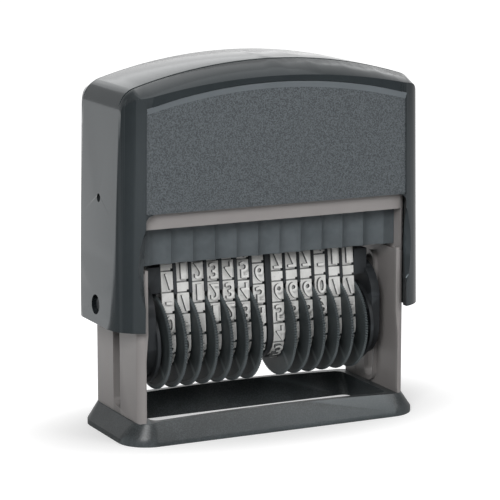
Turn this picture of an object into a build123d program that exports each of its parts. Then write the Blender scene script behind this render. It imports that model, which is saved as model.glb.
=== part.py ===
from build123d import *
import os

# Self-inking numbering stamp with thirteen digit bands.
# Millimetres, +Z up, +X to the user's right, -Y the front, origin at the
# centre of the foot's underside.

os.makedirs("parts", exist_ok=True)

# Fits
running_gap = 0.05
press_gap = 0.01
touch_gap = 0.05
loose_gap = 0.3
overcut = 1.0

# Foot
foot_end_setback = 1.9
foot_depth = 30.8
foot_corner = 7.0
foot_skirt_height = 1.2
foot_top_inset = 0.2
foot_top_depth = 26.8
foot_top_corner = 3.5
foot_height_middle = 5.7
foot_height_ends = 4.7
window_end_ledge = 2.0
window_depth = 16.4
window_flare = 4.0
print_window_corner = 2.0
foot_socket_floor = 4.2

# Cover
cover_length = 77.8
cover_depth = 30.8
cover_plan_corner = 8.5
cover_bottom = 26.0
cover_top = 84.9
cover_top_drop = 6.95
cover_draft = 1.3
cover_shoulder = 5.5
cover_side_wall = 4.9
cover_end_wall = 2.6
cover_front_wall = 2.2
top_strip_depth = 20.0
front_band_drop = 4.85
cavity_top = 80.6
cavity_drop = 6.0
cavity_end_depth = 19.0
cavity_end_start = 40.0
apron_leg = 5.9
apron_bottom = 52.4
apron_corner = 1.8
panel_top = 78.8
panel_top_drop = 4.5
panel_corner = 1.6
panel_recess = 1.5
panel_thickness = 0.75
scallop_radius = 31.7
scallop_centre = 20.4
scallop_setback = 27.3
scallop_height = 40.4
side_hole_diameter = 1.9
side_hole_height = 54.5
spring_cup_bottom = 79.0
spring_cup_diameter = 11.0

# Frame
frame_length = cover_length - 2 * cover_side_wall - 2 * loose_gap
frame_depth = cover_depth - 2 * cover_front_wall - 2 * loose_gap
frame_corner = 2.0
frame_top = 53.8
leg_wall = 1.7
leg_rib_depth = 5.1
leg_rib_foot = 0.1
leg_rib_head = 0.4
leg_bend_bottom = 19.0
leg_bend_top = 25.0
bay_wall = 1.2
deck_bottom = 48.75
deck_thickness = 2.5
rim_thickness = 1.8
slot_width = 3.8
slot_bottom = 6.25
slot_top = 36.0
rail_reach = 1.0
rail_bottom = 43.5
rail_height = 1.6
rail_setback = 2.4
post_diameter = 4.6
post_top = 57.0

# Ink cartridge
cartridge_depth = 19.0
cartridge_bottom = 40.0
flute_count = 11
flute_pitch = 5.4
flute_depth = 0.75
pad_overhang = 1.3
pad_depth = 15.0
pad_thickness = 3.2

# Stroke and pivot
stroke = 20.1
pivot_hole_diameter = 4.5
pivot_hole_depth = 1.8
trunnion_diameter = 2.8
trunnion_setback = 1.0
print_radius = 10.2

# Digit bands and thumb wheels
left_pitch = 3.8
right_pitch = 3.7
band_width = 3.0
band_half_depth = 6.9
band_thickness = 1.15
band_top_corner = 2.2
print_flat = 5.6
wheel_height = 20.6
wheel_radius = 11.1
disc_thickness = 0.58
hub_sides = 16
shaft_diameter = 5.0

# Carriage
boss_radius = 5.5
boss_length = 1.4
cheek_radius = 9.3
cheek_thickness = 0.8
arm_radius = 8.2
arm_thickness = 2.1
arm_side_gap = 2.4
arm_shoulder_height = 27.0
shoe_bottom = 34.0
shoe_block_half_depth = 4.5
shoe_block_reach = 0.6
shoe_block_root = 0.5
shoe_block_bottom = 32.4
shoe_block_top = 38.4
web_thickness = 1.3
web_inset = 0.5
web_offset = 2.1
web_side_gap = 0.25
clip_diameter = 8.4
clip_thickness = 0.7
clip_slot = 3.0
shaft_overhang = 1.0

# Springs
spring_spacing = 30.0
spring_diameter = 8.0
spring_wire = 0.9
spring_turns = 5
steps_per_turn = 12
spring_spigot = 1.5

cover_half = cover_length / 2
cover_front = cover_depth / 2
cover_top_half = cover_half - cover_draft
apron_half = cover_half - apron_leg
panel_back = cover_front - panel_recess
panel_half = apron_half - touch_gap
frame_half = frame_length / 2
frame_inner = frame_half - leg_wall
foot_length = cover_length - 2 * foot_end_setback
foot_top_length = frame_length - 2 * foot_top_inset
window_length = 2 * (frame_inner - window_end_ledge)
guide_half = frame_half + loose_gap
guide_depth = frame_depth / 2 + loose_gap
cavity_end = cover_half - cover_end_wall
deck_top = deck_bottom + deck_thickness
cartridge_slot_half = frame_half - bay_wall
cartridge_half = cartridge_slot_half - 2 * touch_gap
cartridge_front = cartridge_depth / 2
cartridge_top = deck_bottom - touch_gap
trunnion_end = cover_half - trunnion_setback
hub_radius = band_half_depth - band_thickness - running_gap
pivot_height = stroke + print_radius
print_face = pivot_height + print_radius
pad_bottom = print_face + touch_gap
fin_bottom = wheel_height + wheel_radius + loose_gap
spring_places = [(-spring_spacing / 2, 0), (spring_spacing / 2, 0)]
arm_outer = frame_inner - arm_side_gap
arm_inner = arm_outer - arm_thickness
cheek_inner = arm_inner - cheek_thickness
boss_inner = cheek_inner - boss_length
shoe_block_inner = boss_inner - shoe_block_reach
shoe_block_outer = arm_inner + shoe_block_root
pad_length = 2 * (shoe_block_inner + pad_overhang)

# As many bands as fit, with their discs, between the bosses and the centre web.
band_limit = boss_inner - disc_thickness - 2 * running_gap
last_left = web_offset - web_thickness / 2 - web_side_gap - band_width
first_right = web_offset + web_thickness / 2 + web_side_gap
left_group = 1 + int((band_limit + last_left) / left_pitch)
right_group = 1 + int((band_limit - first_right - band_width) / right_pitch)
left_bands = [last_left - place * left_pitch for place in reversed(range(left_group))]
right_bands = [first_right + place * right_pitch for place in range(right_group)]


# ---------------------------------------------------------------- foot
# Flared ring that stands on the paper round the open print window.
with BuildPart() as foot:
    with BuildSketch(Plane.XY):
        RectangleRounded(foot_length, foot_depth, foot_corner)
    with BuildSketch(Plane.XY.offset(foot_skirt_height)):
        RectangleRounded(foot_length, foot_depth, foot_corner)
    with BuildSketch(Plane.XY.offset(foot_height_middle)):
        RectangleRounded(foot_top_length, foot_top_depth, foot_top_corner)
    loft(ruled=True)
    # The upper edge arches gently from end to end.
    with BuildSketch(Plane.XZ):
        with BuildLine():
            Polyline(
                (-foot_length / 2, foot_height_ends),
                (-foot_length / 2, 0),
                (foot_length / 2, 0),
                (foot_length / 2, foot_height_ends),
            )
            ThreePointArc(
                (-foot_length / 2, foot_height_ends),
                (0, foot_height_middle),
                (foot_length / 2, foot_height_ends),
            )
        make_face()
    extrude(amount=foot_depth, both=True, mode=Mode.INTERSECT)
    with BuildSketch(Plane.XY):
        RectangleRounded(window_length, window_depth, print_window_corner)
    with BuildSketch(Plane.XY.offset(foot_height_middle)):
        RectangleRounded(
            window_length,
            window_depth + 2 * window_flare,
            print_window_corner,
        )
    loft(mode=Mode.SUBTRACT)
    # Sockets that take the feet of the frame's legs.
    with BuildSketch(Plane.XY.offset(foot_socket_floor)):
        RectangleRounded(
            frame_length + 2 * touch_gap,
            frame_depth + 2 * touch_gap,
            frame_corner,
        )
        Rectangle(
            2 * (frame_inner - touch_gap),
            foot_depth,
            mode=Mode.SUBTRACT,
        )
    extrude(amount=foot_height_middle, mode=Mode.SUBTRACT)
foot.part.label = "foot"
export_step(foot.part, "parts/foot.step")

# ---------------------------------------------------------------- frame
# Portal of two slotted legs, a cartridge bay and a spring deck.
with BuildPart() as frame:
    with BuildSketch(Plane.XY.offset(foot_socket_floor)):
        RectangleRounded(frame_length, frame_depth, frame_corner)
    extrude(amount=frame_top - foot_socket_floor)
    # Open bay for the band carriage, deeper into the legs between their ribs.
    with BuildSketch(Plane.XZ):
        with BuildLine():
            Polyline(
                (0, foot_socket_floor),
                (frame_inner, foot_socket_floor),
                (frame_inner, foot_height_middle),
                (frame_inner - leg_rib_foot, foot_height_middle),
                (frame_inner - leg_rib_foot, leg_bend_bottom),
                (frame_inner - leg_rib_head, leg_bend_top),
                (frame_inner - leg_rib_head, cartridge_bottom),
                (0, cartridge_bottom),
                close=True,
            )
        make_face()
        mirror(about=Plane.YZ)
    extrude(amount=frame_depth, both=True, mode=Mode.SUBTRACT)
    with BuildSketch(Plane.XZ):
        with Locations((0, (foot_socket_floor + cartridge_bottom) / 2)):
            Rectangle(2 * frame_inner, cartridge_bottom - foot_socket_floor)
    extrude(amount=frame_depth / 2 - leg_rib_depth, both=True, mode=Mode.SUBTRACT)
    # Bay for the ink cartridge.
    with BuildSketch(Plane.XZ):
        with Locations((0, (cartridge_bottom - overcut + deck_bottom) / 2)):
            Rectangle(
                2 * cartridge_slot_half,
                deck_bottom - cartridge_bottom + overcut,
            )
    extrude(amount=frame_depth, both=True, mode=Mode.SUBTRACT)
    # Tray on top that holds the springs.
    with BuildSketch(Plane.XY.offset(deck_top)):
        RectangleRounded(
            frame_length - 2 * rim_thickness,
            frame_depth - 2 * rim_thickness,
            frame_corner / 2,
        )
    extrude(amount=frame_top - deck_top + overcut, mode=Mode.SUBTRACT)
    with BuildSketch(Plane.XY.offset(deck_top)):
        with Locations(*spring_places):
            Circle(post_diameter / 2)
    extrude(amount=post_top - deck_top)
    # Rails that carry the ink cartridge, short of its front.
    with BuildSketch(Plane.XZ.offset(-cartridge_front)):
        with Locations(
            (-cartridge_slot_half, rail_bottom + rail_height / 2),
            (cartridge_slot_half, rail_bottom + rail_height / 2),
        ):
            Rectangle(2 * rail_reach, rail_height)
    extrude(amount=cartridge_depth - rail_setback)
    # Guide slots for the carriage trunnions, one through each leg.
    with BuildSketch(Plane.YZ):
        with Locations((0, (slot_bottom + slot_top) / 2)):
            SlotOverall(slot_top - slot_bottom, slot_width, rotation=90)
    extrude(amount=frame_length, both=True, mode=Mode.SUBTRACT)
frame.part.label = "frame"
export_step(frame.part, "parts/frame.step")

# ---------------------------------------------------------------- ink cartridge
# Drawer with a fluted front, open below where the felt pad hangs out.
with BuildPart() as ink_cartridge:
    with BuildSketch(Plane.XZ):
        with Locations((0, (cartridge_bottom + cartridge_top) / 2)):
            Rectangle(2 * cartridge_half, cartridge_top - cartridge_bottom)
    extrude(amount=cartridge_front, both=True)
    # Pad chamber.
    with BuildSketch(Plane.XY.offset(cartridge_bottom)):
        Rectangle(pad_length + 2 * running_gap, pad_depth + 2 * running_gap)
    extrude(amount=pad_bottom + pad_thickness - cartridge_bottom, mode=Mode.SUBTRACT)
    # Side grooves that ride on the frame's rails, open at the rear.
    with BuildSketch(Plane.XZ.offset(-cartridge_front - overcut)):
        with Locations(
            (-cartridge_half, rail_bottom + rail_height / 2),
            (cartridge_half, rail_bottom + rail_height / 2),
        ):
            Rectangle(
                2 * rail_reach,
                rail_height + 2 * running_gap,
            )
    extrude(
        amount=cartridge_depth - rail_setback + overcut + running_gap,
        mode=Mode.SUBTRACT,
    )
    # Row of upright hollow flutes along the front and the rear grip.
    flute_radius = (flute_pitch ** 2 / 4 + flute_depth ** 2) / (2 * flute_depth)
    flute_centre = cartridge_front + flute_radius - flute_depth
    with BuildSketch(Plane.XY.offset(cartridge_bottom)):
        with Locations((0, -flute_centre), (0, flute_centre)):
            with GridLocations(flute_pitch, 1, flute_count, 1):
                Circle(flute_radius)
    extrude(amount=cartridge_top, mode=Mode.SUBTRACT)
ink_cartridge.part.label = "ink_cartridge"
export_step(ink_cartridge.part, "parts/ink_cartridge.step")

with BuildPart() as ink_pad:
    with BuildSketch(Plane.XY.offset(pad_bottom)):
        Rectangle(pad_length, pad_depth)
    extrude(amount=pad_thickness)
ink_pad.part.label = "ink_pad"
export_step(ink_pad.part, "parts/ink_pad.step")

# ---------------------------------------------------------------- cover
# Arched hood that slides down over the frame and carries the pivot.
# The front half is shaped first and then mirrored to the rear.
with BuildPart() as scallop:
    with Locations((scallop_centre, -cover_front - scallop_setback, scallop_height)):
        Sphere(scallop_radius)
    with BuildSketch(Plane.XY):
        with Locations((cover_half, -cover_front)):
            Rectangle(2 * apron_leg, cover_depth)
    extrude(amount=cover_top, mode=Mode.INTERSECT)
    mirror(about=Plane.YZ)

with BuildPart() as cover:
    for inset, drop in ((0, 0), (top_strip_depth / 2, 0), (cover_front, front_band_drop)):
        with BuildSketch(Plane.XZ.offset(inset)) as hood:
            with BuildLine():
                Polyline(
                    (-cover_top_half, cover_top - cover_top_drop - drop),
                    (-cover_half, cover_bottom),
                    (cover_half, cover_bottom),
                    (cover_top_half, cover_top - cover_top_drop - drop),
                )
                ThreePointArc(
                    (-cover_top_half, cover_top - cover_top_drop - drop),
                    (0, cover_top - drop),
                    (cover_top_half, cover_top - cover_top_drop - drop),
                )
            make_face()
            fillet(hood.vertices().group_by(Axis.Y)[-1], cover_shoulder)
    loft(ruled=True)
    # Rounded upright corners.
    with BuildSketch(Plane.XY.offset(cover_bottom)):
        RectangleRounded(cover_length, cover_depth, cover_plan_corner)
    extrude(amount=cover_top, mode=Mode.INTERSECT)
    # Hollow inside: the guide on the frame, and longer but narrower above.
    for half, bottom, depth in (
        (guide_half, cover_bottom - overcut, guide_depth),
        (cavity_end, cavity_end_start, cavity_end_depth / 2),
    ):
        with BuildSketch(Plane.XZ):
            with BuildLine():
                Polyline(
                    (-half, cavity_top - cavity_drop),
                    (-half, bottom),
                    (half, bottom),
                    (half, cavity_top - cavity_drop),
                )
                ThreePointArc(
                    (-half, cavity_top - cavity_drop),
                    (0, cavity_top),
                    (half, cavity_top - cavity_drop),
                )
            make_face()
        extrude(amount=depth, mode=Mode.SUBTRACT)
    # Tall opening under the apron, in front of the bands.
    with BuildSketch(Plane.XZ) as opening:
        with Locations((0, (cover_bottom - overcut + apron_bottom) / 2)):
            Rectangle(2 * apron_half, apron_bottom - cover_bottom + overcut)
        fillet(opening.vertices().group_by(Axis.Y)[-1], apron_corner)
    extrude(amount=cover_depth, mode=Mode.SUBTRACT)
    # Shallow pocket for the matt panel.
    with BuildSketch(Plane.XZ.offset(panel_back)) as pocket:
        with BuildLine():
            Polyline(
                (-apron_half, panel_top - panel_top_drop),
                (-apron_half, apron_bottom),
                (apron_half, apron_bottom),
                (apron_half, panel_top - panel_top_drop),
            )
            ThreePointArc(
                (-apron_half, panel_top - panel_top_drop),
                (0, panel_top),
                (apron_half, panel_top - panel_top_drop),
            )
        make_face()
        fillet(pocket.vertices().group_by(Axis.Y)[-1], panel_corner)
    extrude(amount=cover_depth, mode=Mode.SUBTRACT)
    # Dished finger scallops in the faces of the cover's legs.
    add(scallop.part, mode=Mode.SUBTRACT)
    mirror(about=Plane.XZ)
    # Cups and spigots for the springs.
    with BuildSketch(Plane.XY.offset(spring_cup_bottom)):
        with Locations(*spring_places):
            Circle(spring_cup_diameter / 2)
    extrude(amount=cavity_top - spring_cup_bottom)
    with BuildSketch(Plane.XY.offset(spring_cup_bottom - spring_spigot)):
        with Locations(*spring_places):
            Circle(post_diameter / 2)
    extrude(amount=spring_spigot)
    # Bearings for the trunnions, with wider mouths outside.
    with BuildSketch(Plane.YZ):
        with Locations((0, pivot_height)):
            Circle(trunnion_diameter / 2 + running_gap)
    extrude(amount=cover_length, both=True, mode=Mode.SUBTRACT)
    for side in (-1, 1):
        with BuildSketch(Plane.YZ.offset(side * (cover_half - pivot_hole_depth))):
            with Locations((0, pivot_height)):
                Circle(pivot_hole_diameter / 2)
        extrude(amount=side * cover_half, mode=Mode.SUBTRACT)
    with BuildSketch(Plane.YZ):
        with Locations((0, side_hole_height)):
            Circle(side_hole_diameter / 2)
    extrude(amount=cover_length, both=True, mode=Mode.SUBTRACT)
cover.part.label = "cover"
export_step(cover.part, "parts/cover.step")

# Matt panels set into the front and the rear of the cover.
for name, turn in (("panel_front", 0), ("panel_rear", 180)):
    with BuildPart(Plane.XY.rotated((0, 0, turn))) as panel:
        with BuildSketch(Plane.XZ.rotated((0, 0, turn)).offset(panel_back)) as plate:
            with BuildLine():
                Polyline(
                    (-panel_half, panel_top - panel_top_drop),
                    (-panel_half, apron_bottom),
                    (panel_half, apron_bottom),
                    (panel_half, panel_top - panel_top_drop),
                )
                ThreePointArc(
                    (-panel_half, panel_top - panel_top_drop),
                    (0, panel_top - touch_gap),
                    (panel_half, panel_top - panel_top_drop),
                )
            make_face()
            fillet(plate.vertices().group_by(Axis.Y)[-1], panel_corner)
        extrude(amount=panel_thickness)
    panel.part.label = name
    export_step(panel.part, f"parts/{name}.step")

# ---------------------------------------------------------------- springs
coil_radius = (spring_diameter - spring_wire) / 2
coil_height = spring_cup_bottom - deck_top - spring_wire - 2 * touch_gap
coil_steps = spring_turns * steps_per_turn
coil_points = [
    Vector(coil_radius, 0, coil_height * step / coil_steps).rotate(
        Axis.Z, 360 * step / steps_per_turn
    )
    for step in range(coil_steps + 1)
]
with BuildPart() as coil:
    with BuildLine():
        Polyline(*coil_points)
    with BuildSketch(Plane(origin=coil_points[0], z_dir=coil_points[1] - coil_points[0])):
        RegularPolygon(spring_wire / 2, 6)
    sweep(transition=Transition.RIGHT)

for name, place in zip(("spring_left", "spring_right"), spring_places):
    with BuildPart() as spring:
        with Locations((*place, deck_top + spring_wire / 2 + touch_gap)):
            add(coil.part)
    spring.part.label = name
    export_step(spring.part, f"parts/{name}.step")

# ---------------------------------------------------------------- band loop
# Outline of a digit band: a flat print face above, the thumb wheel's hub below.
band_profiles = []
for inset in (0, band_thickness, band_thickness + touch_gap, web_inset):
    with BuildSketch() as loop:
        with Locations((0, wheel_height)):
            Circle(band_half_depth - inset)
        with Locations(
            (-print_flat / 2, print_face - band_top_corner),
            (print_flat / 2, print_face - band_top_corner),
        ):
            Circle(band_top_corner - inset)
        make_hull()
    band_profiles.append(loop.sketch)
band_outside, band_inside, shoe_outline, web_outline = band_profiles

# ---------------------------------------------------------------- carriage
# Two end plates with trunnions, a print shoe, a web and the wheel shaft.
with BuildSketch() as arm_outline:
    with Locations((0, wheel_height), (0, arm_shoulder_height)):
        Circle(arm_radius)
    make_hull()

for name, side in (("carriage_end_left", -1), ("carriage_end_right", 1)):
    with BuildPart() as carriage_end:
        with BuildSketch(Plane.YZ.offset(side * boss_inner)):
            with Locations((0, wheel_height)):
                Circle(boss_radius)
        extrude(amount=side * (arm_outer - boss_inner))
        with BuildSketch(Plane.YZ.offset(side * cheek_inner)):
            with Locations((0, wheel_height)):
                Circle(cheek_radius)
        extrude(amount=side * (arm_inner - cheek_inner))
        with BuildSketch(Plane.YZ.offset(side * arm_inner)):
            add(arm_outline.sketch)
        extrude(amount=side * (arm_outer - arm_inner))
        with BuildSketch(Plane.YZ.offset(side * shoe_block_inner)):
            with Locations((0, (shoe_block_bottom + shoe_block_top) / 2)):
                Rectangle(2 * shoe_block_half_depth, shoe_block_top - shoe_block_bottom)
        extrude(amount=side * (shoe_block_outer - shoe_block_inner))
        with BuildSketch(Plane.YZ.offset(side * arm_outer)):
            with Locations((0, pivot_height)):
                Circle(trunnion_diameter / 2)
        extrude(amount=side * (trunnion_end - arm_outer))
        with BuildSketch(Plane.YZ):
            with Locations((0, wheel_height)):
                Circle(shaft_diameter / 2 + press_gap)
        extrude(amount=side * arm_outer, mode=Mode.SUBTRACT)
    carriage_end.part.label = name
    export_step(carriage_end.part, f"parts/{name}.step")

with BuildPart() as print_shoe:
    with BuildSketch(Plane.YZ):
        add(shoe_outline)
        with Locations((0, shoe_bottom - wheel_height)):
            Rectangle(4 * band_half_depth, 2 * wheel_height, mode=Mode.SUBTRACT)
    extrude(amount=shoe_block_inner, both=True)
    # Fins between neighbouring bands.
    for group in (left_bands, right_bands):
        for this_left, next_left in zip(group, group[1:]):
            fin_left = this_left + band_width + running_gap
            with BuildSketch(Plane.YZ.offset(fin_left)):
                add(web_outline)
                with Locations((0, fin_bottom - wheel_height)):
                    Rectangle(4 * band_half_depth, 2 * wheel_height, mode=Mode.SUBTRACT)
            extrude(amount=next_left - running_gap - fin_left)
print_shoe.part.label = "print_shoe"
export_step(print_shoe.part, "parts/print_shoe.step")

with BuildPart() as centre_web:
    with BuildSketch(Plane.YZ.offset(web_offset - web_thickness / 2)):
        add(web_outline)
        with Locations((0, wheel_height)):
            Circle(shaft_diameter / 2 + press_gap, mode=Mode.SUBTRACT)
    extrude(amount=web_thickness)
    with BuildSketch(Plane.YZ.offset(web_offset - web_thickness)):
        add(shoe_outline)
        with Locations((0, shoe_bottom - wheel_height)):
            Rectangle(4 * band_half_depth, 2 * wheel_height, mode=Mode.SUBTRACT)
    extrude(amount=2 * web_thickness, mode=Mode.SUBTRACT)
centre_web.part.label = "centre_web"
export_step(centre_web.part, "parts/centre_web.step")

with BuildPart() as wheel_shaft:
    with BuildSketch(Plane.YZ):
        with Locations((0, wheel_height)):
            Circle(shaft_diameter / 2)
    extrude(amount=arm_outer + shaft_overhang, both=True)
wheel_shaft.part.label = "wheel_shaft"
export_step(wheel_shaft.part, "parts/wheel_shaft.step")

for name, side in (("clip_left", -1), ("clip_right", 1)):
    with BuildPart() as clip:
        with BuildSketch(Plane.YZ.offset(side * arm_outer)):
            with Locations((0, wheel_height)):
                Circle(clip_diameter / 2)
                Circle(shaft_diameter / 2 + press_gap, mode=Mode.SUBTRACT)
            with Locations((0, wheel_height - clip_diameter / 2)):
                Rectangle(clip_slot, clip_diameter, mode=Mode.SUBTRACT)
        extrude(amount=side * clip_thickness)
    clip.part.label = name
    export_step(clip.part, f"parts/{name}.step")

# ---------------------------------------------------------------- bands and wheels
# The left group has its thumb discs on the left, the right group on the right.
for number, band_left in enumerate(left_bands + right_bands, start=1):
    with BuildPart() as band:
        with BuildSketch(Plane.YZ.offset(band_left)):
            add(band_outside)
            add(band_inside, mode=Mode.SUBTRACT)
        extrude(amount=band_width)
    band.part.label = f"band_{number:02d}"
    export_step(band.part, f"parts/band_{number:02d}.step")

    if number <= left_group:
        hub_left = band_left - running_gap
        disc_left = hub_left - disc_thickness
    else:
        hub_left = band_left
        disc_left = hub_left + band_width + running_gap
    with BuildPart() as wheel:
        with BuildSketch(Plane.YZ.offset(hub_left)):
            with Locations((0, wheel_height)):
                RegularPolygon(hub_radius, hub_sides)
        extrude(amount=band_width + running_gap)
        with BuildSketch(Plane.YZ.offset(disc_left)):
            with Locations((0, wheel_height)):
                Circle(wheel_radius)
        extrude(amount=disc_thickness)
        with BuildSketch(Plane.YZ.offset(hub_left - band_width)):
            with Locations((0, wheel_height)):
                Circle(shaft_diameter / 2 + running_gap)
        extrude(amount=3 * band_width, mode=Mode.SUBTRACT)
    wheel.part.label = f"wheel_{number:02d}"
    export_step(wheel.part, f"parts/wheel_{number:02d}.step")
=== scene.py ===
"""Self-inking numbering stamp with thirteen digit bands, dressed for display."""

import math

import bmesh
import bpy
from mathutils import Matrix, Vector


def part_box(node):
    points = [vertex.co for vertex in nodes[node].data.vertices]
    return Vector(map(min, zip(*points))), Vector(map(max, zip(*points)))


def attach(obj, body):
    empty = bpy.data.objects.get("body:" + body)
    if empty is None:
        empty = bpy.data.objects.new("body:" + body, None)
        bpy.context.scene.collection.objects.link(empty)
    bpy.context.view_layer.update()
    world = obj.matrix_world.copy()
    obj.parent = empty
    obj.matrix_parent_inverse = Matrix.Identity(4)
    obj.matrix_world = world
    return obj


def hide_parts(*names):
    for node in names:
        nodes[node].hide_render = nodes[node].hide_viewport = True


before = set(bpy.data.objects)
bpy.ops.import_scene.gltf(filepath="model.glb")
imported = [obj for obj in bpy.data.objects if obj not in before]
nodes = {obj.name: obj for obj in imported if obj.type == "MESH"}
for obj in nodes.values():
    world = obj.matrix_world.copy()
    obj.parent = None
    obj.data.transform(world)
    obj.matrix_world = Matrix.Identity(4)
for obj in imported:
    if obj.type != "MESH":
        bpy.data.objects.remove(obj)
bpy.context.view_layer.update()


# ------------------------------------------------------------------ sizes
# In millimetres. X runs to the right, Y to the back and Z up from the rest face.
# A pair in brackets is where a change over the surface starts and where it is complete.
MM = 0.001

# Cover
cover_half = 38.9
taper = 1.0
taper_from = 22.0
taper_height = 57.0
cavity_end = 36.3
cavity_front = 13.2
cavity_top = 80.9
cavity_drop = 6.0
cavity_margin = 0.02

# Roof, and the slope between its seam and the panel
crown_lift = 0.9
crown_fade = 4.0
corner_foot = 71.0
corner_head = 75.1
roof_half_depth = 10.0
slope_depth = 5.4
slope_gap = 1.2
slope_curve = 0.004813
slope_end = 31.0
slope_end_rise = 1.1
seam_half_width = 0.32
seam_depth = 0.25
seam_foot = (76.0, 77.0)

# Pocket for the panel, and the slanted strip above the panel
pocket_top = 78.8
pocket_curve = 0.004123
pocket_half = 33.05
pocket_front = 13.85
pocket_reach = 0.1
pocket_head = 73.0
brow_height = 1.5
brow_half = 32.2
brow_steps = 24
brow_sink = 0.05
brow_gap = 0.1
brow_head_front = 15.3
brow_foot_front = 14.7
brow_back = 13.95

# Frame: the guide slots, their rims, and the lips on the legs' upright edges
leg_wall = 1.7
slot_half = 1.9
slot_bottom = 6.25
slot_top = 36.0
slot_end_steps = 12
slot_rim_reach = 0.8
slot_rim_width = 0.8
slot_rim_root = 0.1
lip_root = 1.6
lip_front = 12.9
lip_depth = 1.2
lip_slope = 0.1
# Heights, and how far the lip stands out at each
lip_stations = ((5.8, 0.15), (19.0, 0.25), (25.0, 0.75), (39.6, 0.75))

# Frame: where painted shade darkens its finish
leg_inner_face = (30.7, 30.8)
leg_outer_half = (32.2, 33.0)
leg_edge = (11.5, 12.7)
leg_head = (38.5, 39.5)
slot_wall_edge = (1.92, 2.00)
slot_wall_head = (36.1, 36.3)

# Cartridge
flute_pitch = 5.4
flute_relief = 0.45

# Digit bands. Depths are measured inwards from the print surface.
band_count = 13
left_group = 7
top_turn = 2.2
print_flat = 5.6
belt_back = 1.15
belt_face = 0.95
belt_steps = 120
block_face = 0.78
block_root = 0.05
block_draft = 0.05
block_step = 0.6
cell_length = 4.85
short_cell = 2.4
cell_gap = 0.24
notch_width = 0.5
notch_length = 0.35
notch_overlap = 0.1

# Numerals
digit_height = 3.7
digit_width = 2.1
digit_root = 0.04
dash_height = 0.6
narrowed = {"1": 0.62, "/": 0.7, "-": 0.7}
stroke_growth = 0.012
bend_cuts = 8
cut_merge = 0.001
digit_top = 0.9

# Thumb wheels
tooth_count = 110
tooth_depth = 0.42
disc_thickness = 0.58
disc_rim = 1.1
rim_chamfer = 0.12
rim_side_chamfer = 0.08
boss_edge = 4.2
dish_edge = 4.5
dish_depth = 0.12
dish_slope = 0.15
hub_gap = 0.05
wheel_bore = 2.55


# ------------------------------------------------------------------ shader tools
# Where a noise turns from one colour to the other: gently, sharply, or in a few places only
soft = (0.3, 0.7)
crisp = (0.36, 0.64)
sparse = (0.62, 0.75)

# How sharp a corner counts as an edge, and how much paler moulded plastic is painted there as a
# highlight
raised_edge = (0.505, 0.56)
painted_highlight_gain = 3.2


class Wire:
    """A shader value that Python's operators work on."""

    def __init__(self, finish, socket):
        self.finish = finish
        self.socket = socket

    def work_out(self, operation, *values):
        made = self.finish.node("ShaderNodeMath", {"operation": operation}, dict(enumerate(values)))
        return made["Value"]

    def __add__(self, other):
        return self.work_out("ADD", self, other)

    def __radd__(self, other):
        return self.work_out("ADD", other, self)

    def __sub__(self, other):
        return self.work_out("SUBTRACT", self, other)

    def __rsub__(self, other):
        return self.work_out("SUBTRACT", other, self)

    def __mul__(self, other):
        return self.work_out("MULTIPLY", self, other)

    def __rmul__(self, other):
        return self.work_out("MULTIPLY", other, self)

    def unsigned(self):
        return self.work_out("ABSOLUTE", self)

    def fraction(self):
        """What lies over the last whole number."""
        return self.work_out("FRACT", self)

    def above(self, start, end):
        """0 up to start, 1 from end, smooth between."""
        made = self.finish.node(
            "ShaderNodeMapRange",
            {"interpolation_type": "SMOOTHSTEP"},
            {"Value": self, "From Min": start, "From Max": end},
        )
        return made["Result"]

    def beyond(self, start_mm, end_mm):
        """0 up to start, 1 from end, for a length."""
        return self.above(start_mm * MM, end_mm * MM)

    def within(self, start_mm, end_mm):
        """1 up to start, 0 from end, for a length."""
        return 1 - self.beyond(start_mm, end_mm)


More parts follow.
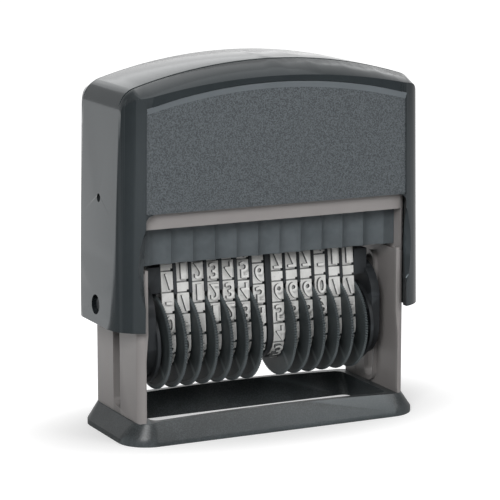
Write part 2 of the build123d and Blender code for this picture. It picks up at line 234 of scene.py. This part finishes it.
class Finish:
    """A material, or the world, under construction."""

    def __init__(self, name, world=None):
        self.owner = world or bpy.data.materials.new(name)
        self.owner.use_nodes = True
        self.tree = self.owner.node_tree
        self.shader = self.tree.nodes["Background" if world else "Principled BSDF"]

    def put(self, socket, value):
        """Links a wire to a socket, or sets a constant on it."""
        if isinstance(value, Wire):
            self.tree.links.new(value.socket, socket)
        elif isinstance(value, tuple) and len(value) == 3 and len(socket.default_value) == 4:
            socket.default_value = (*value, 1)
        else:
            socket.default_value = value

    def node(self, kind, settings, sockets):
        """Any node. Its sockets go by place or identifier, its outputs come by identifier."""
        made = self.tree.nodes.new(kind)
        for name, value in settings.items():
            setattr(made, name, value)
        by_identifier = {socket.identifier: socket for socket in made.inputs}
        for key, value in sockets.items():
            self.put(made.inputs[key] if isinstance(key, int) else by_identifier[key], value)
        return {socket.identifier: Wire(self, socket) for socket in made.outputs if socket.enabled}

    def vector(self, operation, *values):
        made = self.node("ShaderNodeVectorMath", {"operation": operation}, dict(enumerate(values)))
        return made["Value" if operation == "LENGTH" else "Vector"]

    def split(self, vector):
        """The parts of a vector, as X, Y and Z."""
        return self.node("ShaderNodeSeparateXYZ", {}, {"Vector": vector})

    def spot(self):
        """Where on the piece, in metres."""
        return self.node("ShaderNodeTexCoord", {}, {})["Object"]

    def noise(self, size_mm, detail=2.0, rough=0.6, stretch=(1, 1, 1)):
        sockets = {
            "Vector": self.vector("MULTIPLY", self.spot(), stretch),
            "Scale": 1 / (size_mm * MM),
            "Detail": detail,
            "Roughness": rough,
        }
        return self.node("ShaderNodeTexNoise", {}, sockets)["Fac"]

    def mix(self, share, first, second):
        """From the first colour to the second as share goes from 0 to 1."""
        sockets = {"Factor_Float": share, "A_Color": first, "B_Color": second}
        return self.node("ShaderNodeMix", {"data_type": "RGBA"}, sockets)["Result_Color"]

    def bump(self, height, depth_mm, strength=1.0, under=None):
        """Relief from a height between 0 and 1, laid over the relief under it."""
        sockets = {"Height": height, "Distance": depth_mm * MM, "Strength": strength}
        if under is not None:
            sockets["Normal"] = under
        return self.node("ShaderNodeBump", {}, sockets)["Normal"]

    def edges(self):
        """1 on raised edges, 0 on flats and in hollows."""
        shape = self.node("ShaderNodeNewGeometry", {}, {})["Pointiness"]
        return shape.above(*raised_edge)

    def done(self, **sockets):
        for name, value in sockets.items():
            self.put(self.shader.inputs[name.replace("_", " ")], value)
        return self.owner


# ------------------------------------------------------------------ finishes
def gloss_black():
    """The cover's polish: smudges, fine haze, the seam between roof and slope, and a painted
    highlight on its edges.
    """
    f = Finish("gloss_black")
    here = f.split(f.spot())
    off_seam = (here["Y"].unsigned() - roof_half_depth * MM).unsigned()
    seam = off_seam.within(seam_half_width / 2, seam_half_width) * here["Z"].beyond(*seam_foot)
    smudge = f.noise(14, detail=3.0)
    haze = f.noise(2.2, rough=0.5)
    speck = f.noise(0.25, detail=1.0, rough=0.5)
    colour = f.mix(smudge.above(0.3, 0.75), (0.0105, 0.0135, 0.015), (0.0155, 0.0195, 0.0215))
    roughness = 0.09 + 0.06 * smudge + 0.05 * haze.above(0.5, 0.8)
    ripple = f.bump(haze + 0.15 * speck, 0.006)
    return f.done(
        # Sharp edges are painted paler: a painted highlight.
        Base_Color=f.mix(f.edges() * 0.35, colour, (0.06, 0.066, 0.07)),
        Roughness=roughness + 0.8 * seam,
        Specular_Tint=(0.80, 0.93, 1.0),
        Normal=f.bump(1 - seam, seam_depth, under=ripple),
    )


def matt_panel():
    """The panels' fine grain."""
    f = Finish("matt_panel")
    grain = f.noise(0.25, rough=0.7)
    patch = f.noise(9, rough=0.5)
    colour = f.mix(grain.above(*crisp), (0.042, 0.050, 0.056), (0.134, 0.153, 0.166))
    return f.done(
        Base_Color=f.mix(patch * 0.2, colour, (0.09, 0.10, 0.108)),
        Roughness=0.52 + 0.16 * grain,
        Normal=f.bump(grain, 0.05, strength=0.7),
    )


def grey_frame():
    """Warm grey plastic with painted shade on the legs' inner faces and in their slots, and a
    painted highlight on its edges.
    """
    f = Finish("grey_frame")
    cloud = f.noise(11, detail=3.0, rough=0.55)
    grain = f.noise(0.4)
    here = f.split(f.spot())
    side = here["X"].unsigned()
    front = here["Y"].unsigned()
    # Painted shade on the legs' inner faces, and darker still on the walls of their slots.
    inside = side.beyond(*leg_inner_face) * side.within(*leg_outer_half)
    inside = inside * front.within(*leg_edge) * here["Z"].within(*leg_head)
    slot_wall_painted_shade = front.within(*slot_wall_edge) * here["Z"].within(*slot_wall_head)
    colour = f.mix(cloud.above(*soft), (0.205, 0.190, 0.190), (0.245, 0.230, 0.228))
    colour = f.mix(inside * (0.62 + 0.3 * cloud), colour, (0.030, 0.026, 0.026))
    colour = f.mix(slot_wall_painted_shade, colour, (0.050, 0.046, 0.046))
    return f.done(
        # Sharp edges are painted paler: a painted highlight.
        Base_Color=f.mix(f.edges() * 0.5, colour, (0.42, 0.40, 0.39)),
        Roughness=0.36 + 0.12 * cloud,
        Normal=f.bump(grain, 0.012, strength=0.6),
    )


def black_plastic(name, dark, light, roughness, sheen, speckle=0.0):
    """Moulded plastic, cloudy from dark to light or speckled with both, with a painted highlight on
    its edges.
    """
    f = Finish(name)
    cloud = f.noise(6, detail=3.0)
    grain = f.noise(0.3)
    speck = speckle * (2 * grain.above(*crisp) - 1)
    colour = f.mix(cloud.above(*soft) * (1 - speckle) + speck, dark, light)
    # Sharp edges are painted paler: a painted highlight.
    painted_edge_highlight = tuple(painted_highlight_gain * part for part in light)
    return f.done(
        Base_Color=f.mix(f.edges() * 0.4, colour, painted_edge_highlight),
        Roughness=roughness + 0.12 * grain,
        Specular_IOR_Level=sheen,
        Normal=f.bump(grain, 0.01, strength=0.6),
    )


def fluted_plastic():
    """The cartridge's plastic, with the hollow of each flute deepened a little."""
    f = Finish("cartridge_plastic")
    cloud = f.noise(6, detail=3.0)
    grain = f.noise(0.3)
    along = f.split(f.spot())["X"]
    off_middle = 2 * (along * (1 / (flute_pitch * MM)) + 0.5).fraction() - 1
    hollow = f.bump(off_middle * off_middle, flute_relief)
    return f.done(
        Base_Color=f.mix(cloud.above(*soft), (0.088, 0.103, 0.112), (0.118, 0.136, 0.147)),
        Roughness=0.42 + 0.12 * grain,
        Specular_IOR_Level=0.3,
        Normal=f.bump(grain, 0.01, strength=0.6, under=hollow),
    )


def band_rubber():
    """The pale tops of blocks and numerals, with specks of ink."""
    f = Finish("band_rubber")
    cloud = f.noise(3.5, detail=3.0)
    grain = f.noise(0.22, rough=0.7)
    dust = f.noise(0.9)
    colour = f.mix(cloud.above(*soft), (0.72, 0.72, 0.70), (0.88, 0.88, 0.86))
    return f.done(
        Base_Color=f.mix(dust.above(*sparse) * 0.35, colour, (0.33, 0.34, 0.34)),
        Roughness=0.62 + 0.15 * grain,
        Normal=f.bump(grain, 0.02, strength=0.6),
    )


def painted_shade_band_side(name, dark, light):
    """The sides of the blocks and numerals: the same rubber as the tops, darkened as painted shade.
    """
    f = Finish(name)
    cloud = f.noise(1.2, detail=3.0)
    return f.done(
        Base_Color=f.mix(cloud.above(*soft), dark, light),
        Roughness=0.7 + 0.1 * cloud,
    )


def inked_felt():
    """The pad, black with ink, its fibres upright."""
    f = Finish("inked_felt")
    fibre = f.noise(0.35, detail=4.0, rough=0.8, stretch=(1, 1, 0.4))
    return f.done(
        Base_Color=f.mix(fibre, (0.004, 0.004, 0.006), (0.02, 0.02, 0.028)),
        Roughness=0.75 + 0.15 * fibre,
        Normal=f.bump(fibre, 0.12),
    )


def drawn_steel():
    """Bright steel, streaked along X."""
    f = Finish("drawn_steel")
    draw = f.noise(0.5, stretch=(0.1, 1, 1))
    return f.done(
        Base_Color=f.mix(draw, (0.42, 0.42, 0.43), (0.6, 0.6, 0.6)),
        Metallic=1.0,
        Roughness=0.25 + 0.2 * draw,
        Normal=f.bump(draw, 0.01),
    )


GLOSS = gloss_black()
PANEL = matt_panel()
GREY = grey_frame()
BLACK = black_plastic(
    "black_plastic", (0.019, 0.021, 0.023), (0.029, 0.032, 0.035), roughness=0.36, sheen=0.2
)
BROW = black_plastic(
    "satin_brow", (0.080, 0.092, 0.100), (0.100, 0.113, 0.122), roughness=0.40, sheen=0.3
)
FOOT = black_plastic(
    "foot_plastic",
    (0.022, 0.027, 0.029),
    (0.054, 0.063, 0.067),
    roughness=0.30,
    sheen=0.5,
    speckle=0.5,
)
CARTRIDGE = fluted_plastic()
WHEEL = black_plastic(
    "wheel_plastic", (0.036, 0.044, 0.046), (0.054, 0.063, 0.066), roughness=0.46, sheen=0.25
)
RUBBER = band_rubber()
# Painted shade: block sides and belt mid grey, numeral sides darker.
FLANK = painted_shade_band_side("band_flank_painted_shade", (0.16, 0.165, 0.165), (0.30, 0.31, 0.30))
GROOVE = painted_shade_band_side("band_groove_painted_shade", (0.070, 0.075, 0.077), (0.150, 0.156, 0.156))
FELT = inked_felt()
STEEL = drawn_steel()


# ------------------------------------------------------------------ CAD nodes
# Each node's finish, and the width that its edges are rounded by.
DRESS = {
    "foot": (FOOT, 0.35),
    "frame": (GREY, 0.18),
    "ink_cartridge": (CARTRIDGE, 0.12),
    "ink_pad": (FELT, 0),
    "cover": (GLOSS, 0.3),
    "panel_front": (PANEL, 0.12),
    "panel_rear": (PANEL, 0.12),
    "spring_left": (STEEL, 0),
    "spring_right": (STEEL, 0),
    "carriage_end_left": (BLACK, 0.15),
    "carriage_end_right": (BLACK, 0.15),
    "print_shoe": (BLACK, 0.15),
    "centre_web": (BLACK, 0.12),
    "wheel_shaft": (STEEL, 0),
    "clip_left": (STEEL, 0),
    "clip_right": (STEEL, 0),
}


weld_reach = 0.002
bevel_segments = 3
bevel_angle = 35


def ease_edges(piece, width):
    """Merges split corners, rounds the sharp edges and keeps the flats flat."""
    for face in piece.data.polygons:
        face.use_smooth = True
    weld = piece.modifiers.new("weld", "WELD")
    weld.merge_threshold = weld_reach * MM
    bevel = piece.modifiers.new("round", "BEVEL")
    bevel.width = width * MM
    bevel.segments = bevel_segments
    bevel.limit_method = "ANGLE"
    bevel.angle_limit = math.radians(bevel_angle)
    bevel.use_clamp_overlap = True
    flats = piece.modifiers.new("flats", "WEIGHTED_NORMAL")
    flats.keep_sharp = False


for name, (finish, edge_width) in DRESS.items():
    node = nodes[name]
    node.data.materials.clear()
    node.data.materials.append(finish)
    if edge_width:
        ease_edges(node, edge_width)


# ------------------------------------------------------------------ mesh tools
def put_in_scene(name, data):
    thing = bpy.data.objects.new(name, data)
    bpy.context.scene.collection.objects.link(thing)
    return thing


def new_piece(mesh, name, body, finishes, node=None):
    """Turns a mesh into a piece that rides on its body and may stand for a node."""
    bmesh.ops.recalc_face_normals(mesh, faces=mesh.faces)
    data = bpy.data.meshes.new(name)
    mesh.to_mesh(data)
    mesh.free()
    piece = put_in_scene(name, data)
    for finish in finishes:
        data.materials.append(finish)
    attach(piece, body)
    if node is not None:
        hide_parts(node)
    return piece


def ring(mesh, points):
    return [mesh.verts.new(Vector(point) * MM) for point in points]


def skin(mesh, rings):
    """Faces from each ring to the next: a list of them along each edge of the ring."""
    count = len(rings[0])
    strips = [[] for edge in range(count)]
    for one, two in zip(rings, rings[1:]):
        for edge in range(count):
            after = (edge + 1) % count
            face = mesh.faces.new((one[edge], one[after], two[after], two[edge]))
            strips[edge].append(face)
    return strips


# ------------------------------------------------------------------ cover
ENDS = {"left": -1, "right": 1}
FRONTS = {"front": -1, "rear": 1}


def clipped(share):
    return min(1, max(0, share))


def pocket_edge(x):
    """Height of the arched upper edge of the panel's pocket."""
    return pocket_top - pocket_curve * x * x


def head_shift(x, y, z):
    """How far up a point of the cover's head goes: flatter roof, shorter slope, taller pocket."""
    lift = crown_lift * (x / cover_half) ** 2 * clipped((z - corner_foot) / crown_fade)
    front = clipped((abs(y) - roof_half_depth) / slope_depth)
    if abs(x) < pocket_half:
        if abs(y) > pocket_front and z < pocket_edge(x) + pocket_reach:
            return brow_height if z > pocket_head else 0
        share = (z - pocket_edge(x)) / (slope_gap - (slope_curve - pocket_curve) * x * x)
    else:
        share = (z - corner_foot) / (corner_head - corner_foot)
    raised = brow_height + slope_end_rise * min(1, (x / slope_end) ** 2)
    return lift + raised * front * clipped(share)


def in_cavity(x, y, z):
    """Whether a point is on the cover's inside, which keeps its shape."""
    beside = abs(x) < cavity_end + cavity_margin and abs(y) < cavity_front + cavity_margin
    return beside and z < cavity_top - cavity_drop * (x / cavity_end) ** 2


def tapered_cover():
    """The cover with its outside drawn in towards the top and its head reshaped."""
    mesh = bmesh.new()
    mesh.from_mesh(nodes["cover"].data)
    for v in mesh.verts:
        x, y, z = v.co / MM
        if not in_cavity(x, y, z):
            share = max(0, (z - taper_from) / taper_height)
            v.co.x -= x / cover_half * taper * share * MM
            v.co.z += head_shift(x, y, z) * MM
    piece = new_piece(mesh, "tapered_cover", "cover", (GLOSS,), "cover")
    ease_edges(piece, DRESS["cover"][1])


def brow_strip(way, toward):
    """Slanted strip between the pocket's upper edge and the panel."""
    mesh = bmesh.new()
    rings = []
    for step in range(2 * brow_steps + 1):
        x = brow_half * (step / brow_steps - 1)
        low = pocket_edge(x) - brow_sink
        high = low + brow_height - brow_gap
        section = (
            (brow_head_front, high),
            (brow_foot_front, low),
            (brow_back, low),
            (brow_back, high),
        )
        rings.append(ring(mesh, [(x, toward * y, z) for y, z in section]))
    skin(mesh, rings)
    mesh.faces.new(rings[0])
    mesh.faces.new(rings[-1])
    new_piece(mesh, f"brow_strip_{way}", "cover", (BROW,))


for way, toward in FRONTS.items():
    brow_strip(way, toward)
tapered_cover()


# ------------------------------------------------------------------ frame
def slot_rim(end, side):
    """Raised rim round the guide slot on the inner face of a leg."""
    _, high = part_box("frame")
    leg_face = high.x / MM - leg_wall
    root, top = leg_face + slot_rim_root, leg_face - slot_rim_reach
    mesh = bmesh.new()
    rings = []
    for x, grow in ((root, 0), (top, 0), (top, slot_rim_width), (root, slot_rim_width)):
        points = []
        for centre, start in ((slot_top - slot_half, 0), (slot_bottom + slot_half, math.pi)):
            for step in range(slot_end_steps + 1):
                angle = start + math.pi * step / slot_end_steps
                y = (slot_half + grow) * math.cos(angle)
                z = centre + (slot_half + grow) * math.sin(angle)
                points.append((side * x, y, z))
        rings.append(ring(mesh, points))
    skin(mesh, rings + rings[:1])
    new_piece(mesh, f"slot_rim_{end}", "frame", (GREY,))


def leg_lip(end, side, way, toward):
    """Lip that stiffens an upright edge of a leg, thicker above its bend."""
    _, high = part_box("frame")
    root = high.x / MM - lip_root
    mesh = bmesh.new()
    rings = []
    for z, reach in lip_stations:
        section = (
            (root, lip_front),
            (root - reach, lip_front - lip_slope),
            (root - reach, lip_front - lip_depth),
            (root, lip_front - lip_depth - reach),
        )
        rings.append(ring(mesh, [(side * x, toward * y, z) for x, y in section]))
    mesh.faces.new(rings[0])
    mesh.faces.new(rings[-1])
    skin(mesh, rings)
    new_piece(mesh, f"leg_lip_{end}_{way}", "frame", (GREY,))


for end, side in ENDS.items():
    slot_rim(end, side)
    for way, toward in FRONTS.items():
        leg_lip(end, side, way, toward)


# ------------------------------------------------------------------ digit bands
def size_of(node):
    low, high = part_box(node)
    return low / MM, high / MM


_, band_high = size_of("band_01")
wheel_low, wheel_high = size_of("wheel_01")
wheel_centre = (wheel_low.z + wheel_high.z) / 2
hub_turn = band_high.y
print_top = band_high.z

# The cells from the middle of the top down the front. A short one is bare.
cells_down = ["7", "short", "6", "5", "4", "3", "2", "1", "short", "/", "-", "0", "9", "8"]

# How far each band, from left to right, has been turned down the front.
band_turn = [-31.6, -26.5, -21.4, -16.2, -11.3, -6.1, 0.0, 4.6, 4.6, 4.7, -37.1, -26.7, -26.6]

# A band's finishes, and which of its faces have them.
BAND_FINISHES = (RUBBER, FLANK, GROOVE)
on_top, on_block_side, on_digit_side = range(3)


class BandRoute:
    """The print surface's way round shoe and hub, measured from the middle of the top."""

    def __init__(self):
        self.top = Vector((-print_flat / 2, print_top - top_turn))
        self.hub = Vector((0, wheel_centre))
        apart = self.top - self.hub
        lean = math.atan2(apart.y, apart.x)
        self.leave = lean + math.acos((hub_turn - top_turn) / apart.length)
        self.flat = print_flat / 2
        self.corner = top_turn * (self.leave - math.pi / 2)
        self.run = math.sqrt(apart.length**2 - (hub_turn - top_turn) ** 2)
        self.under = hub_turn * (1.5 * math.pi - self.leave)
        self.half = self.flat + self.corner + self.run + self.under

    def at(self, along, depth):
        """Point (y, z) at a depth and a distance along the band, in front when positive."""
        along = (along + self.half) % (2 * self.half) - self.half
        side = 1 if along >= 0 else -1
        left = abs(along)
        if left < self.flat:
            point, angle = Vector((-left, print_top)), math.pi / 2
        elif left < self.flat + self.corner:
            angle = math.pi / 2 + (left - self.flat) / top_turn
            point = self.top + top_turn * Vector((math.cos(angle), math.sin(angle)))
        elif left < self.flat + self.corner + self.run:
            angle = self.leave
            start = self.top + top_turn * Vector((math.cos(angle), math.sin(angle)))
            down = Vector((-math.sin(angle), math.cos(angle)))
            point = start + down * (left - self.flat - self.corner)
        else:
            angle = self.leave + (left - self.half + self.under) / hub_turn
            point = self.hub + hub_turn * Vector((math.cos(angle), math.sin(angle)))
        point = point - depth * Vector((math.cos(angle), math.sin(angle)))
        return Vector((side * point.x, point.y))


ROUTE = BandRoute()


def bent_block(mesh, start, end, left, right):
    """A block that stands on the belt and follows the band from start to end."""
    steps = max(2, round((end - start) / block_step))
    foot_depth = belt_face + block_root
    rings = []
    for step in range(steps + 1):
        share = step / steps
        foot = start + (end - start) * share
        face = start + block_draft + (end - start - 2 * block_draft) * share
        section = (
            (left, foot, foot_depth),
            (right, foot, foot_depth),
            (right - block_draft, face, block_face),
            (left + block_draft, face, block_face),
        )
        rings.append(ring(mesh, [(x, *ROUTE.at(along, depth)) for x, along, depth in section]))
    ends = [mesh.faces.new(reversed(rings[0])), mesh.faces.new(rings[-1])]
    below, right_side, above, left_side = skin(mesh, rings)
    for face in ends + below + right_side + left_side:
        face.material_index = on_block_side


def notched_block(mesh, start, end, left, right):
    """A block whose lower corner is notched beside the thumb disc."""
    notch = right - notch_width
    bent_block(mesh, start, end, left, notch)
    bent_block(mesh, start, end - notch_length, notch - notch_overlap, right)


def belt(mesh, left, right):
    """The plain loop that the blocks stand on."""
    section = ((left, belt_back), (right, belt_back), (right, belt_face), (left, belt_face))
    rings = []
    for step in range(belt_steps):
        along = 2 * ROUTE.half * step / belt_steps
        rings.append(ring(mesh, [(x, *ROUTE.at(along, depth)) for x, depth in section]))
    for strip in skin(mesh, rings + rings[:1]):
        for face in strip:
            face.material_index = on_block_side


def glyph_shape(letter):
    """A raised numeral, centred, 1 thick, cut across so that it can bend."""
    text = bpy.data.curves.new("glyph", "FONT")
    text.body = letter
    text.extrude = 0.5
    text.offset = stroke_growth
    text.resolution_u = 4
    holder = bpy.data.objects.new("glyph", text)
    shape = bpy.data.meshes.new_from_object(holder)
    bpy.data.objects.remove(holder)
    bpy.data.curves.remove(text)
    solid = bmesh.new()
    solid.from_mesh(shape)
    bpy.data.meshes.remove(shape)
    low = Vector(min(v.co[i] for v in solid.verts) for i in range(3))
    high = Vector(max(v.co[i] for v in solid.verts) for i in range(3))
    middle_x = (low.x + high.x) / 2
    middle_y = (low.y + high.y) / 2
    height = dash_height if letter == "-" else digit_height
    width = digit_width * narrowed.get(letter, 1)
    scale = Vector((width / (high.x - low.x), height / (high.y - low.y), 1 / (high.z - low.z)))
    for v in solid.verts:
        x, y, z = v.co
        v.co = Vector(((x - middle_x) * scale.x, (y - middle_y) * scale.y, (z - low.z) * scale.z))
    for cut in range(1, bend_cuts):
        level = height * (cut / bend_cuts - 0.5)
        parts = solid.verts[:] + solid.edges[:] + solid.faces[:]
        bmesh.ops.bisect_plane(solid, geom=parts, plane_co=(0, level, 0), plane_no=(0, 1, 0))
    bmesh.ops.remove_doubles(solid, verts=solid.verts, dist=cut_merge)
    return solid


GLYPHS = {cell: glyph_shape(cell) for cell in cells_down if cell != "short"}


def raise_glyph(mesh, letter, middle_x, middle_along):
    """Stands a numeral on its block, its top up to the print surface."""
    root_depth = block_face + digit_root
    made = {}
    for v in GLYPHS[letter].verts:
        y, z = ROUTE.at(middle_along + v.co.y, root_depth * (1 - v.co.z))
        made[v] = mesh.verts.new(Vector((middle_x + v.co.x, y, z)) * MM)
    for face in GLYPHS[letter].faces:
        topmost = all(v.co.z > digit_top for v in face.verts)
        raised = mesh.faces.new([made[v] for v in face.verts])
        raised.material_index = on_top if topmost else on_digit_side


def digit_band(number):
    """A belt with its blocks and numerals, turned as far as this band is."""
    node = f"band_{number:02d}"
    low, high = size_of(node)
    mesh = bmesh.new()
    belt(mesh, low.x, high.x - notch_width)
    along = band_turn[number - 1]
    for cell in cells_down:
        length = short_cell if cell == "short" else cell_length
        notched_block(mesh, along + cell_gap / 2, along + length - cell_gap / 2, low.x, high.x)
        if cell != "short":
            raise_glyph(mesh, cell, (low.x + high.x) / 2, along + length / 2)
        along += length
    # What is left of the loop is one bare block.
    rest = band_turn[number - 1] + 2 * ROUTE.half
    notched_block(mesh, along + cell_gap / 2, rest - cell_gap / 2, low.x, high.x)
    new_piece(mesh, f"digit_band_{number:02d}", "carriage", BAND_FINISHES, node)


# ------------------------------------------------------------------ thumb wheels
def thumb_wheel(number):
    """Disc with a serrated rim, a hub under the band and a bore for the shaft."""
    node = f"wheel_{number:02d}"
    low, high = size_of(node)
    outer = (high.z - low.z) / 2
    width = high.x - low.x
    hub_radius = hub_turn - belt_back - hub_gap
    on_left = number <= left_group
    x_face = low.x if on_left else high.x
    inward = 1 if on_left else -1
    # From the bore at the outer face, round rim and hub, to the far end of the bore: how far
    # in from the outer face, the radius, and whether the ring has teeth.
    stations = [
        (0, wheel_bore, False),
        (0, boss_edge, False),
        (dish_depth, dish_edge, False),
        (dish_depth, outer - disc_rim, False),
        (0, outer - disc_rim + dish_slope, False),
        (0, outer - rim_chamfer, True),
        (rim_side_chamfer, outer, True),
        (disc_thickness - rim_side_chamfer, outer, True),
        (disc_thickness, outer - rim_chamfer, True),
        (disc_thickness, hub_radius, False),
        (width, hub_radius, False),
        (width, wheel_bore, False),
    ]
    mesh = bmesh.new()
    rings = []
    count = 2 * tooth_count
    for along, radius, toothed in stations:
        points = []
        for step in range(count):
            angle = 2 * math.pi * step / count
            reach = radius - (tooth_depth if toothed and step % 2 else 0)
            y = reach * math.cos(angle)
            z = wheel_centre + reach * math.sin(angle)
            points.append((x_face + inward * along, y, z))
        rings.append(ring(mesh, points))
    skin(mesh, rings + rings[:1])
    body = f"thumb_wheel_{number:02d}"
    new_piece(mesh, f"thumb_wheel_disc_{number:02d}", body, (WHEEL,), node)


for number in range(1, band_count + 1):
    digit_band(number)
    thumb_wheel(number)


# ------------------------------------------------------------------ floor, light, camera
floor_half = 1500
floor_tone = 0.6
contact_stretch = (0.5, 1, 1)
contact_edge = (14, 42)
contact_tone = 0.42
mirror_behind = (-20, 40)
mirror_in_front = (40, 150)
mirror_right = (-50, 100)
mirror_spread = 0.8
behind_sheen = 0.95
front_sheen = 0.3
right_sheen = 0.08

room_light = 0.16
room_sheen = 0.24
horizon_sheen = 0.75
ceiling_sheen = 0.25
# Directions in the room, as parts of a vector of length 1
horizon_back = (0.3, 0.9)
horizon_head = (0.25, 0.5)
horizon_right = (-0.2, 0.25)
ceiling_foot = (0.3, 0.7)
ceiling_left = (-0.5, 0.05)
ceiling_right = (0.2, 0.9)

camera_lens = 176.75
camera_sensor = 36
camera_place = (-243.0, -499.3, 147.2)
camera_target = (-0.10, 0, 39.45)

# Name, place, target, size and watts of each lamp
LAMPS = (
    ("key", (-330, -430, 330), (0, 0, 40), (240, 240), 2.0),
    ("fill", (330, -430, 320), (20, 0, 30), (260, 240), 0.75),
    ("top", (140, 0, 600), (40, 0, 40), (700, 400), 0.35),
    ("back", (150, 520, 300), (0, 0, 80), (500, 160), 0.12),
)


def floor_finish():
    """Pale, and greyer round the foot. For gloss alone it glows as a painted reflection, bright
    behind and faint in front.
    """
    f = Finish("pale_floor")
    spot = f.spot()
    here = f.split(spot)
    path = f.node("ShaderNodeLightPath", {}, {})
    from_foot = f.vector("LENGTH", f.vector("MULTIPLY", spot, contact_stretch))
    glow = f.mix(from_foot.beyond(*contact_edge), (contact_tone,) * 3, (1, 1, 1))
    # A glow that only gloss sees: a painted reflection, bright behind the stamp and faint in front.
    behind = (here["Y"] - mirror_spread * here["X"].unsigned()).beyond(*mirror_behind)
    in_front = f.vector("LENGTH", spot).beyond(*mirror_in_front)
    to_right = here["X"].beyond(*mirror_right)
    in_front = in_front * (front_sheen + right_sheen * to_right) * (1 - behind)
    mirrored = path["Is Glossy Ray"] * (behind_sheen * behind + in_front)
    shown = f.mix(mirrored, (0, 0, 0), (1, 1, 1))
    return f.done(
        Base_Color=(floor_tone,) * 3,
        Roughness=0.9,
        Specular_IOR_Level=0.0,
        Emission_Strength=1.0,
        Emission_Color=f.mix(path["Is Camera Ray"], shown, glow),
    )


def lay_floor():
    mesh = bmesh.new()
    bmesh.ops.create_grid(mesh, x_segments=1, y_segments=1, size=floor_half * MM)
    data = bpy.data.meshes.new("floor")
    mesh.to_mesh(data)
    mesh.free()
    floor = put_in_scene("floor", data)
    data.materials.append(floor_finish())


def aim(holder, place_mm, target_mm):
    """Stands a lamp or the camera at its place and turns it to its target."""
    place, target = Vector(place_mm) * MM, Vector(target_mm) * MM
    holder.location = place
    holder.rotation_mode = "QUATERNION"
    holder.rotation_quaternion = (target - place).to_track_quat("-Z", "Y")


def hang_lamp(name, place, target, size, watts):
    lamp = bpy.data.lights.new(name, "AREA")
    lamp.shape = "RECTANGLE"
    lamp.size, lamp.size_y = (side * MM for side in size)
    lamp.energy = watts
    aim(put_in_scene(name, lamp), place, target)


def light_room():
    """Even light, white to the eye. Gloss mirrors a bright horizon behind and a paler ceiling."""
    world = bpy.data.worlds.new("room")
    bpy.context.scene.world = world
    f = Finish("room", world)
    path = f.node("ShaderNodeLightPath", {}, {})
    way = f.split(f.node("ShaderNodeTexCoord", {}, {})["Generated"])
    clear = path["Is Camera Ray"] + path["Is Transmission Ray"]
    horizon = way["Y"].above(*horizon_back) * (1 - 0.45 * way["Z"].above(*horizon_head))
    horizon = horizon * (0.3 + 0.7 * way["X"].above(*horizon_right))
    ceiling = way["Z"].above(*ceiling_foot) * way["X"].above(*ceiling_left)
    ceiling = ceiling * (1 - 0.5 * way["X"].above(*ceiling_right))
    mirrored = room_sheen + horizon_sheen * horizon + ceiling_sheen * ceiling
    strength = room_light + (1 - room_light) * clear + path["Is Glossy Ray"] * mirrored
    f.done(Color=(1, 1, 1), Strength=strength)


def stand_camera():
    camera = bpy.data.cameras.new("camera")
    camera.lens = camera_lens
    camera.sensor_width = camera_sensor
    camera.clip_start, camera.clip_end = 0.01, 20
    holder = put_in_scene("camera", camera)
    aim(holder, camera_place, camera_target)
    bpy.context.scene.camera = holder


lay_floor()
light_room()
for lamp in LAMPS:
    hang_lamp(*lamp)
stand_camera()
bpy.context.scene.view_settings.view_transform = "Standard"
